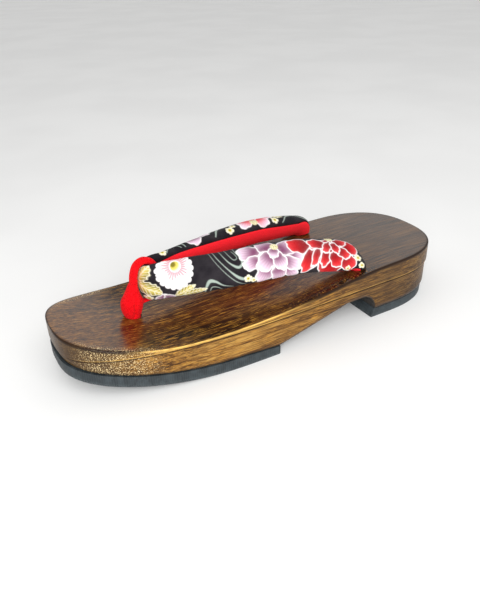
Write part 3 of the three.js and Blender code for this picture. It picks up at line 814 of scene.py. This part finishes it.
# The print on the strap's cotton
# A common traditional print of peonies, chrysanthemums, plum blossom, leaves and streams on black. Each
# motif is a formula on the cloth, placed in millimetres of run from the fold and of way across the face.
INK_BLEED = 0.34


def ink(red, green, blue):
    """A colour of the print, from an 8-bit display colour."""
    return np.array(srgb(red, green, blue)[:3])


GROUND = ink(27, 23, 29)
CREAM = ink(246, 240, 212)
WHITE = ink(252, 248, 248)
PINK = ink(222, 124, 140)
MAUVE = ink(126, 60, 100)
PALE_MAUVE = ink(246, 216, 236)
DEEP_RED = ink(150, 4, 16)
RED = ink(230, 34, 40)
OLIVE = ink(128, 116, 34)
GOLD = ink(222, 204, 96)
MAUVE_INKS = (MAUVE, PALE_MAUVE, 0.5, 0.4, 0.8)
RED_INKS = (DEEP_RED, RED, 0.52, 0.1, 0.7)
BLUSH_INKS = (RED, PALE_MAUVE, 0.55, 0.4, 0.9)
SILVER = ink(166, 180, 170)
FADED_INK = srgb(190, 180, 186)
WEAVE_SHADE = srgb(16, 13, 16)
THREAD_PITCH = 15000

step_across = np.linalg.norm(np.diff(cover_rings, axis=1), axis=2)
way_across = np.concatenate([np.zeros((COVER_ROWS, 1)), np.cumsum(step_across, axis=1)], 1)
arc_start, arc_end = arc_ends(strap_frames(COVER_ROWS)[3], 1)
arc_trim = SEAM_TRIM * (arc_end - arc_start)
crown = (COVER_COLUMNS - 1) * (-arc_start - arc_trim) / (arc_end - arc_start - 2 * arc_trim)
crown_column = np.floor(crown).astype(int)
crown_way = way_across[np.arange(COVER_ROWS), crown_column]
crown_step = step_across[np.arange(COVER_ROWS), crown_column]
face_way = way_across - (crown_way + (crown - crown_column) * crown_step)[:, None]
chart_run = np.repeat(cover_run[:, None], face_way.shape[1], 1)


def inked(distance):
    """Cover of ink from a signed distance in mm: full inside, none outside, soft over the ink's bleed."""
    return np.clip(0.5 - distance / INK_BLEED, 0, 1)


def lay(cloth, share, tint):
    """The cloth's colours with a tint, or an array of tints, laid over them by its share of cover."""
    return cloth + (tint - cloth) * share[..., None]


def local(run, way, turn=0):
    """Coordinates about a motif's centre, along and across the way that it is turned to, in degrees."""
    angle = np.radians(turn)
    along = chart_run - run
    aside = face_way - way
    return along * np.cos(angle) + aside * np.sin(angle), aside * np.cos(angle) - along * np.sin(angle)


def petal(run, way, turn, reach, breadth, inks):
    """Layers of a lobed oval in a white rim: ink from the root's colour to the tip's, with veins that fan
    out, and a white glow over some depth inside the rim."""
    root, tip, rim, glow, depth = inks
    along, aside = local(run, way, turn)
    angle = np.arctan2(aside / breadth, along / reach)
    phase = run + 2 * way
    lobes = 1 + 0.06 * np.cos(5 * angle + phase) + 0.04 * np.cos(8 * angle - phase)
    distance = (np.hypot(along / reach, aside / breadth) - lobes) * min(reach, breadth)
    share = smooth(-0.5, 1.0, along / reach)
    fan = np.arctan2(aside, along + 1.3 * reach)
    vein = 0.08 * np.cos(fan * 46 + phase) * stretch(share, 0.1, 0.5, 0.7, 1.0)
    body = lay(root, np.clip(share + vein, 0, 1), tip)
    glow = glow * np.exp(np.minimum(distance + rim, 0) / depth)
    yield inked(distance), WHITE
    yield inked(distance + rim), lay(body, glow, WHITE)


def peony(petals, inks, run, way, size):
    """Layers of petals from the outermost in, then of a heart: gold grains on a cream disc."""
    for row in petals:
        yield from petal(*row, inks)
    along, aside = local(run, way)
    radius = np.hypot(along, aside)
    grains = np.cos(9 * np.arctan2(aside, along)) * np.cos(5.5 * np.pi * radius / size)
    yield inked(radius - size), CREAM
    yield inked(radius - size) * smooth(-0.1, 0.3, grains), GOLD * 0.8


def chrysanthemum(run, way, size, count, lean):
    """Layers of a scalloped white disc, with pink rays about a gold heart that leans out of its middle."""
    along, aside = local(run, way)
    radius = np.hypot(along, aside)
    angle = np.arctan2(aside, along)
    scallop = np.abs(np.cos(count * angle / 3)) ** 0.6
    disc = inked(radius - size * (0.86 + 0.11 * scallop + 0.03 * np.sin(3 * angle + run)))
    along = along / size - lean[0]
    aside = aside / size - lean[1]
    reach = np.hypot(along, aside)
    turn = np.arctan2(aside, along)
    between = np.abs(np.sin(count * turn / 2)) * 2 * reach * size / count
    length = 0.56 + 0.1 * np.sin(5 * turn + run)
    ray = inked(between - 0.3) * smooth(0.28, 0.34, reach) * smooth(length + 0.14, length, reach)
    heart = 0.25
    shade = np.hypot(along + 0.35 * heart, aside - 0.4 * heart) / heart
    core = lay(OLIVE, smooth(0.35, 0.8, shade), GOLD)
    yield disc, WHITE
    yield 0.9 * ray * disc, PINK
    yield inked((reach - heart) * size), lay(core, smooth(0.9, 1.5, shade), CREAM)


def leaf(run, way, turn, length, breadth):
    """Layers of a pointed leaf from its foot: cream outline, gold to olive body, cream midrib and veins."""
    along, aside = local(run, way, turn)
    share = np.clip(along / length, 0, 1)
    teeth = 1 + 0.09 * np.cos(along * 2.6)
    half = breadth * np.sin(np.pi * share ** 0.8) ** 0.75 * teeth
    aside = np.abs(aside)
    distance = np.maximum(aside - half, np.maximum(-along, along - length))
    slant = np.abs(np.mod(along - 0.9 * aside, 1.9) - 0.95)
    veins = np.minimum(aside - 0.24, slant - 0.2)
    yield inked(distance), CREAM
    yield inked(distance + 0.45), lay(GOLD, smooth(0.0, 0.9, aside / breadth), OLIVE)
    yield inked(np.maximum(veins, distance + 0.2)), CREAM


def blossom(run, way, size, turn):
    """Layers of a plum blossom: five round cream petals about a gold heart with an olive eye."""
    along, aside = local(run, way, turn)
    lobe = np.abs(np.cos(2.5 * np.arctan2(aside, along)))
    radius = np.hypot(along, aside)
    disc = inked(radius - size * (0.66 + 0.34 * lobe ** 0.55))
    split = inked(lobe * radius - 0.14) * smooth(0.35, 0.5, radius / size)
    yield disc, CREAM
    yield 0.6 * split * disc, OLIVE
    yield inked(radius - 0.4 * size), GOLD
    yield inked(radius - 0.17 * size), OLIVE


def stream(course):
    """The layer of flowing water: a silver band along a smooth course of run, way and half width."""
    points = np.array(course, float)
    line = smooth_path(points, np.linspace(0, len(points) - 1, 24 * len(points)))
    near = np.abs(chart_run - line[:, 0].mean()) < np.ptp(line[:, 0]) / 2 + 3
    gap = np.hypot(chart_run[near][:, None] - line[:, 0], face_way[near][:, None] - line[:, 1])
    distance = np.full(chart_run.shape, 9.0)
    distance[near] = (gap - line[:, 2]).min(1)
    yield inked(distance), SILVER


STREAMS = (
    ((39, 12, 0.12), (41.1, 6.3, 0.2), (46.5, -1.9, 0.32), (51.5, -7, 0.75), (57.5, -9.2, 0.45)),
    ((36.8, 12, 0.1), (39.2, 5.6, 0.12), (44, -2.4, 0.16), (49.5, -8.6, 0.2), (54, -11.5, 0.1)),
    ((42.5, 12.5, 0.12), (44.5, 6.6, 0.18), (47.6, 1.8, 0.36), (51.6, -1, 0.7), (53.6, 0.4, 0.5),
     (53.4, 3.4, 0.26), (51.4, 8, 0.16), (50.6, 12.5, 0.1)),
    ((45.8, 12, 0.1), (47.6, 6.6, 0.14), (50, 3.4, 0.18), (51.6, 4.2, 0.16), (49.6, 9, 0.1)),
    ((32.4, -11.5, 0.3), (33.3, -7.6, 0.6), (35.4, -4.6, 0.95), (38.4, -5.6, 0.6), (42, -8.6, 0.3),
     (47.4, -11, 0.1)),
    ((35, -11.8, 0.16), (36.2, -8.4, 0.24), (39, -9, 0.2), (42, -12, 0.1)),
    ((-16, 13, 0.2), (-20, 8, 0.5), (-26, 6.5, 0.6), (-30, 9.5, 0.4), (-31, 13.5, 0.2)),
    ((-19, 13, 0.2), (-22, 10.2, 0.3), (-26, 9.6, 0.3), (-28.5, 13, 0.2)),
    ((-52, 13.5, 0.3), (-56, 8.5, 0.6), (-61, 5, 0.7), (-66, 6, 0.5), (-68, 10.5, 0.3)),
    ((-50, 10, 0.2), (-55, 4.5, 0.4), (-61, 0.5, 0.6), (-67.5, -1.5, 0.5), (-72, -6, 0.3)),
    ((-48, -2, 0.2), (-54, -4, 0.5), (-60, -5.5, 0.7), (-66, -9, 0.4), (-68, -13, 0.2)),
    ((-101, 13.5, 0.2), (-106, 8.8, 0.45), (-112, 7.6, 0.5), (-118, 10.2, 0.4), (-124, 9.2, 0.3)),
    ((-103, 6, 0.2), (-108, 4.4, 0.35), (-114, 5, 0.4), (-121, 5.6, 0.25)),
)
LEAVES = (
    (-1, 1.8, 52, 11.5, 3.4), (-1, 1.4, -36, 13.5, 3.8), (-1.4, 4.5, 88, 8.5, 2.4),
    (16.4, -9.6, 24, 12.5, 2.8), (20.5, -9.8, 6, 13.5, 2.3), (-2, -3.5, 208, 9, 2.6),
    (-9, 5, 165, 9, 2.5), (-33, -10.5, 190, 12, 2.7), (-70, 9.5, 176, 9, 2.4), (-93, 3, 150, 12, 2.9),
    (-96, -8, 185, 12, 2.7),
)
MAUVE_PEONY = (
    (71, -1.5, 180, 11, 8), (58.6, 5.6, 160, 6.6, 5.4), (59.6, -0.6, 190, 6, 3.9),
    (83.6, -2.6, -10, 5.6, 4.6), (64.6, -7.8, 235, 6.2, 4.6), (79.4, -9, -50, 6.4, 4),
    (72.6, -9.4, 270, 5.2, 4.4), (68.2, 8.4, 110, 5.6, 5), (80, 4.6, 25, 6.6, 5.2),
    (80, -4.8, -28, 7.2, 3.8), (67.4, -1.2, 215, 7, 5), (74.2, -2.6, 285, 5.6, 4),
    (72, 2.6, 250, 3.6, 3.2),
)
RED_PEONY = (
    (104, 0, 180, 12, 8.5), (87.4, 4.6, 165, 7, 5.6), (91.4, -5.4, 235, 8.2, 4.4),
    (104.6, -10.2, 262, 5.6, 8.2), (116.6, -6.6, -42, 7, 5.2), (118.6, 2.4, 5, 4.8, 6),
    (96.4, -3.2, 242, 7.4, 2.6), (98.6, 4.8, 172, 6, 3.9), (102, -4.4, 248, 6, 3.2),
    (109, -5.2, 285, 5.2, 4.4), (114, -1.4, -30, 5.2, 3.4), (113.6, 6, 20, 5.2, 3.4),
    (104.6, 2.2, 230, 5, 2.8), (109.6, 1.8, 290, 4.2, 2.8),
)
FAR_MAUVE_PEONY = (
    (-39, 0, 180, 8, 7), (-31.5, 4, 20, 5.6, 4.6), (-46, 5.4, 155, 5.8, 4.8),
    (-44.4, -3.2, 215, 6.2, 4.6), (-33.6, -4, -40, 6, 4.6), (-38.6, 9.6, 90, 4.8, 5),
    (-39, -6, 270, 5, 4), (-36.6, 2.2, 10, 4.4, 3.8), (-41.2, 1.8, 170, 4.4, 3.8),
)
FAR_RED_PEONY = (
    (-82, 0, 180, 9, 8), (-72.6, 1.6, 10, 6.6, 5.4), (-74.4, -7.4, -45, 7, 5), (-83, -9, 265, 6, 5.4),
    (-91, -5, 215, 6.6, 5), (-90.6, 5, 165, 6.2, 5), (-75.6, 9, 40, 6.2, 4.4),
    (-86.4, 10.4, 120, 5.4, 4.6), (-78, -1.8, -30, 5.6, 3.6), (-85.6, -1.6, 215, 5.8, 3.6),
    (-82, 4.6, 270, 4.8, 3.6),
)
BLOSSOMS = (
    (55.4, -8.2, 2.2, 10), (58.4, -9.8, 1.6, 40), (2.8, -8.4, 2.4, 0), (123.2, -4, 2.3, 25),
    (126.8, -8, 2.2, 50), (117.4, -10.6, 1.9, 15), (124.8, 4.6, 2.1, 5), (128.6, 0, 1.8, 60),
    (-5.6, 10.2, 2.6, 20), (-17, 11.6, 2.4, 35), (-63, 12, 2.7, 10), (-66.4, 9.4, 1.9, 45),
    (-95.6, 11.6, 2.6, 30), (-99.4, 8, 2, 0), (-56, -9.6, 2.4, 20), (-120, -5.6, 2.4, 15),
    (-124.6, 0.4, 2.1, 40),
)

motifs = [
    *[stream(course) for course in STREAMS],
    *[leaf(*row) for row in LEAVES],
    petal(8.6, -10.2, 215, 4.6, 3.0, MAUVE_INKS),
    petal(13.8, -10.8, -40, 4.4, 2.8, MAUVE_INKS),
    peony(MAUVE_PEONY, MAUVE_INKS, 73.6, 6.2, 2.2),
    peony(RED_PEONY, RED_INKS, 108.0, 9.0, 2.3),
    peony(FAR_MAUVE_PEONY, MAUVE_INKS, -38.8, 4.6, 1.9),
    peony(FAR_RED_PEONY, BLUSH_INKS, -81.0, 10.6, 2.4),
    chrysanthemum(17.9, 4.8, 10.6, 26, (0.04, 0.26)),
    chrysanthemum(-20.5, -2.6, 9.2, 24, (-0.1, 0.1)),
    chrysanthemum(-109.0, -5.2, 8.6, 22, (0.1, 0.15)),
    *[blossom(*row) for row in BLOSSOMS],
]
cloth = np.broadcast_to(GROUND, (*chart_run.shape, 3))
for motif in motifs:
    for share, tint in motif:
        cloth = lay(cloth, share, tint)

tips = np.zeros((2, 3))
colours = np.concatenate([cloth.reshape(-1, 3), tips + GROUND])
colours = np.concatenate([colours, np.ones((len(colours), 1))], 1)
chart = np.stack([chart_run, face_way, 0 * face_way], -1).reshape(-1, 3)
store(cover, "print", colours, "FLOAT_COLOR", "color")
store(cover, "chart", np.concatenate([chart, tips]) * MM, "FLOAT_VECTOR", "vector")


def cotton_finish():
    """Printed cotton: the print's colours, faded a little in clouds, over the bump of a plain weave."""
    cotton = Finish("printed_cotton", Specular_IOR_Level=0.14, Sheen_Weight=0.04, Sheen_Roughness=0.45)
    chart = cotton.stored("chart", "Vector")
    weave = cotton.times(cotton.wave(chart, "X", THREAD_PITCH), cotton.wave(chart, "Y", THREAD_PITCH))
    slub = cotton.noise(chart, 900, 2, 0.6)
    colour = cotton.clouded(chart, 90, 0.03, cotton.stored("print", "Color"), FADED_INK)["Colour"]
    # Painted shade in the hollows of the plain weave.
    colour = cotton.over(colour, WEAVE_SHADE, cotton.ranged(weave, 0, -1, 0, 0.2))
    height = cotton.total((weave, 1), (slub, 2.2))
    return cotton.surface(colour, cotton.ranged(slub, 0.3, 0.7, 0.62, 0.8), height, 0.35, 0.00012)


cover.data.materials.append(cotton_finish())
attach(cover, "root")
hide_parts("strap_cover")

# Strap lining
# The inner half of the strap, against the foot: soft red crepe over the same wadding, sewn to the cotton
# along both edges, so that it stands out as a round red roll inside the fold.
LINING_ROWS = 640
LINING_COLUMNS = 52
DEEP_CREPE = srgb(206, 2, 12)
BRIGHT_CREPE = srgb(250, 16, 28)
# Lit red and its share: painted light on the lining, which sits in shade inside the fold.
LIT_CREPE = srgb(255, 44, 56)
CREPE_SHEEN = srgb(255, 70, 70)
LINING_LIGHT_SHARE = 0.75

lining_rings = padded_half(LINING_ROWS, LINING_COLUMNS, -1)[0]
lining = mesh_piece("red_lining", *lofted(lining_rings))
# Painted light on the lining, which sits in shade inside the fold.
store(lining, "painted_lining_light", np.full(len(lining.data.vertices), LINING_LIGHT_SHARE))


def crepe_finish():
    """Red crepe: a fine pebbled pile with painted shade, deeper red, in its hollows, a soft sheen, and
    painted light that brightens the lining.
    """
    crepe = Finish(
        "red_crepe",
        Specular_IOR_Level=0.1,
        Sheen_Weight=0.45,
        Sheen_Roughness=0.5,
        Sheen_Tint=CREPE_SHEEN,
    )
    place = crepe.place()
    pebbles = crepe.noise(place, 1500, 2, 0.55, 0.3)
    pile = crepe.noise(place, 4200, 2, 0.6)
    # Painted shade: deeper red in the pebbles' hollows, brighter on their tops.
    colour = crepe.over(DEEP_CREPE, BRIGHT_CREPE, crepe.ranged(pebbles, 0.36, 0.6))
    colour = crepe.clouded(place, 170, 0.15, colour, DEEP_CREPE)["Colour"]
    # Painted light: the lining brightened towards a lit red.
    colour = crepe.over(colour, LIT_CREPE, crepe.stored("painted_lining_light"))
    height = crepe.total((pebbles, 1), (pile, 0.35))
    return crepe.surface(colour, crepe.ranged(pile, 0.3, 0.7, 0.82, 0.98), height, 0.8, 0.0006)


red_crepe = crepe_finish()
lining.data.materials.append(red_crepe)
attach(lining, "root")
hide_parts("strap_lining")

# Toe loop
# A tube of red crepe that holds the fold down. It goes over the fold and back under it, and its two legs
# come together in a pear above the deck, where they go down the front hole side by side.
LOOP_PEAR = np.array([
    # y, z, half width in x, half width in y
    (76, 15.5, 4.2, 4.2), (76, 21, 4.2, 4.2), (76, 25.4, 4.2, 4.2), (76, 26.6, 4.6, 4.7),
    (76, 28.6, 5.2, 5.4), (75.8, 31.4, 5.8, 6.1), (75.5, 34.4, 5.9, 6.1), (75.1, 37.6, 5, 4.7),
    (74.6, 40.6, 4, 3.5), (74, 44, 3.2, 2.4),
])
LOOP_BAND = np.array([
    # y, z, half width, half thickness
    (75.4, 36, 3.3, 2.2), (73.7, 43, 3.1, 2.2), (72.8, 49.5, 2.9, 2.1), (70.8, 54.2, 2.8, 2),
    (67.2, 56.2, 2.7, 1.9), (63.4, 55, 2.2, 1.9), (61, 51.6, 1.7, 2), (60.2, 46.6, 1.5, 2.1),
    (60.5, 42, 1.5, 2.1), (61.5, 37, 1.5, 1.7), (63.5, 33.9, 1.6, 1.2), (67, 32.9, 1.8, 0.95),
    (71, 32.8, 2.2, 1.1), (75, 32.6, 2.8, 1.6),
])
LOOP_SIDES = 64
LOOP_ROWS = 160
LOOP_VOXEL = 0.32
LEG_CREASE = {"depth": 1.1, "width": 0.8, "low": 25.5, "high": 44.0}


def loop_tube(table, level):
    """Tube of ovals on a smooth path in the middle plane, through a table's rows: level, or square to it."""
    u = np.linspace(0, len(table) - 1, LOOP_ROWS)
    at = smooth_path(np.stack([0 * table[:, 0], table[:, 0], table[:, 1]], 1), u)
    sizes = smooth_path(table[:, 2:], u)
    aside = np.array([1.0, 0, 0])
    thick_way = np.array([0, 1.0, 0]) if level else np.cross(unit(np.gradient(at, axis=0)), aside)
    first = (sizes[:, :1] * aside)[:, None]
    second = (sizes[:, 1:] * thick_way)[:, None]
    angle = np.linspace(0, 2 * np.pi, LOOP_SIDES, endpoint=False)[None, :, None]
    return lofted(at[:, None] + first * np.cos(angle) + second * np.sin(angle))


pear_verts, pear_faces = loop_tube(LOOP_PEAR, True)
band_verts, band_faces = loop_tube(LOOP_BAND, False)
joined_faces = pear_faces + [[corner + len(pear_verts) for corner in face] for face in band_faces]
loop = mesh_piece("red_toe_loop", np.concatenate([pear_verts, band_verts]), joined_faces)
fuse = loop.modifiers.new("fuse", "REMESH")
fuse.mode = "VOXEL"
fuse.voxel_size = LOOP_VOXEL * MM
soften = loop.modifiers.new("soften", "SMOOTH")
soften.factor = 0.5
soften.iterations = 6
finished(loop)
loop_points = points_of(loop)
loop_x, loop_y, loop_z = loop_points.T
leg_middle = np.interp(loop_z, LOOP_PEAR[:, 1], LOOP_PEAR[:, 0])
low, high, width = LEG_CREASE["low"], LEG_CREASE["high"], LEG_CREASE["width"]
leg_crease = LEG_CREASE["depth"] * stretch(loop_z, low, low + 2, high - 8, high)
leg_crease = leg_crease * np.exp(-((loop_y - leg_middle) / width) ** 2)
aside = np.abs(loop_x)
loop_points[:, 0] = np.sign(loop_x) * np.maximum(aside - leg_crease * smooth(0, 2, aside), 0)
loop.data.vertices.foreach_set("co", (loop_points * MM).astype(np.float32).ravel())
loop.data.shade_smooth()
loop.data.update()
loop.data.materials.append(red_crepe)
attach(loop, "root")
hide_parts("toe_loop")

# Floor, light and camera
# A plain pale table in soft white light from all round, with a large lamp high on the left and a smaller
# one near the camera, which looks down on the sandal from the left of the toe, an arm's length away.
FLOOR_HALF = 60.0
TABLE_TONES = (srgb(247, 247, 246), srgb(251, 251, 250))
AMBIENT = 0.64
LAMPS = (
    # name, spot, aim, size and power
    ("key_lamp", (-0.85, 0.05, 0.8), (0, 0, 0.03), 0.8, 4.6),
    ("fill_lamp", (-0.7, 0.4, 0.42), (0, 0, 0.04), 0.5, 5.0),
)
VIEW = {"spot": (-0.27333, 0.15815, 0.19566), "aim": (-0.0079, 0.0141, 0.02), "roll": -1.786}
FRAME_HEIGHT = 600
FOCAL_PIXELS = 604.338
SENSOR = 36.0

floor_verts = np.array([(-1, -1, 0), (1, -1, 0), (1, 1, 0), (-1, 1, 0)]) * FLOOR_HALF / MM
floor = mesh_piece("pale_table", floor_verts, [(0, 1, 2, 3)])
table = Finish("pale_table", Specular_IOR_Level=0.2, Roughness=0.7)
table_colour = table.clouded(table.place(), 6, 1, *TABLE_TONES)["Colour"]
table.feed(table.shader, {"Base Color": table_colour})
floor.data.materials.append(table.material)

world = bpy.data.worlds.new("white_studio")
world.use_nodes = True
sky = world.node_tree.nodes["Background"]
sky.inputs["Color"].default_value = (1.0, 1.0, 1.0, 1.0)
sky.inputs["Strength"].default_value = AMBIENT
bpy.context.scene.world = world
bpy.context.scene.view_settings.view_transform = "Standard"


def aimed(name, data, spot, aim, roll=0.0):
    """A lamp or camera at a spot, in metres, turned to face its aim and then rolled by some degrees."""
    thing = bpy.data.objects.new(name, data)
    turn = (Vector(aim) - Vector(spot)).to_track_quat("-Z", "Y")
    turn = turn @ Quaternion((0, 0, 1), np.radians(roll))
    thing.matrix_world = Matrix.LocRotScale(Vector(spot), turn, None)
    bpy.context.scene.collection.objects.link(thing)
    return thing


for name, spot, aim, size, power in LAMPS:
    light = bpy.data.lights.new(name, "AREA")
    light.size = size
    light.energy = power
    aimed(name, light, spot, aim)

lens = bpy.data.cameras.new("camera")
lens.sensor_width = SENSOR
lens.lens = FOCAL_PIXELS * SENSOR / FRAME_HEIGHT
lens.clip_start = 0.01
bpy.context.scene.camera = aimed("camera", lens, VIEW["spot"], VIEW["aim"], VIEW["roll"])
